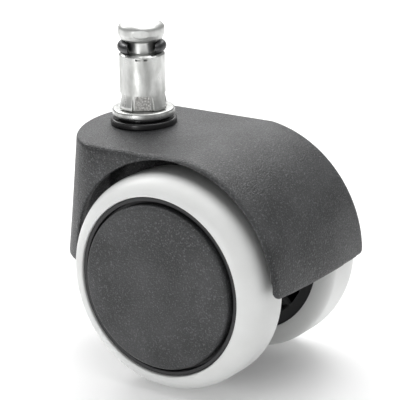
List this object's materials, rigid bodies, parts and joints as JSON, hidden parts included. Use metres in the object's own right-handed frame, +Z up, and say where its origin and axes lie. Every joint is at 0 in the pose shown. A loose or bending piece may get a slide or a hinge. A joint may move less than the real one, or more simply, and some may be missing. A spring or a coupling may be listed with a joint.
{
  "type": "twin-wheel caster",
  "caption": "Twin-wheel furniture caster with a plug-in grip stem, a moulded hood over the wheels and soft treads with smooth hub caps.",
  "frame": {"origin": "on the swivel axis, at the top face of the stem's flange, which bears on the chair leg or furniture base", "axes": "+Z up along the stem, +X from the swivel axis towards the trailing wheels, wheels spin about Y"},
  "size_m": [0.066, 0.0494, 0.0789],
  "materials": {
    "plated_steel": "bright zinc plating",
    "spring_steel": "dark oiled spring steel",
    "black_nylon": "smooth moulded",
    "grey_nylon": "spark-eroded texture",
    "hub_nylon": "smooth moulded",
    "cap_nylon": "spark-eroded texture",
    "soft_tread": "satin polyurethane"
  },
  "bodies": {
    "stem": {"stem_pin": "plated_steel", "stem_sleeve": "plated_steel", "stem_flange": "plated_steel", "stem_clip": "spring_steel"},
    "grip": {"grip_ring": "spring_steel"},
    "hood_unit": {"hood": "grey_nylon", "swivel_bush": "black_nylon", "axle": "plated_steel", "axle_washer_left": "plated_steel", "axle_washer_right": "plated_steel", "axle_clip_left": "spring_steel", "axle_clip_right": "spring_steel"},
    "wheel_left": {"wheel_hub_left": "hub_nylon", "wheel_bush_left": "black_nylon", "tread_left": "soft_tread", "hub_cap_left": "cap_nylon"},
    "wheel_right": {"wheel_hub_right": "hub_nylon", "wheel_bush_right": "black_nylon", "tread_right": "soft_tread", "hub_cap_right": "cap_nylon"}
  },
  "joints": [
    {"name": "swivel", "type": "hinge", "parent": "stem", "child": "hood_unit", "pos_m": [0, 0, 0], "axis": [0, 0, 1], "continuous": true},
    {"name": "ring_turn", "type": "hinge", "parent": "stem", "child": "grip", "pos_m": [0, 0, 0.01425], "axis": [0, 0, 1], "continuous": true},
    {"name": "wheel_left_spin", "type": "hinge", "parent": "hood_unit", "child": "wheel_left", "pos_m": [0.0192, 0, -0.03325], "axis": [0, 1, 0], "continuous": true},
    {"name": "wheel_right_spin", "type": "hinge", "parent": "hood_unit", "child": "wheel_right", "pos_m": [0.0192, 0, -0.03325], "axis": [0, 1, 0], "continuous": true}
  ]
}
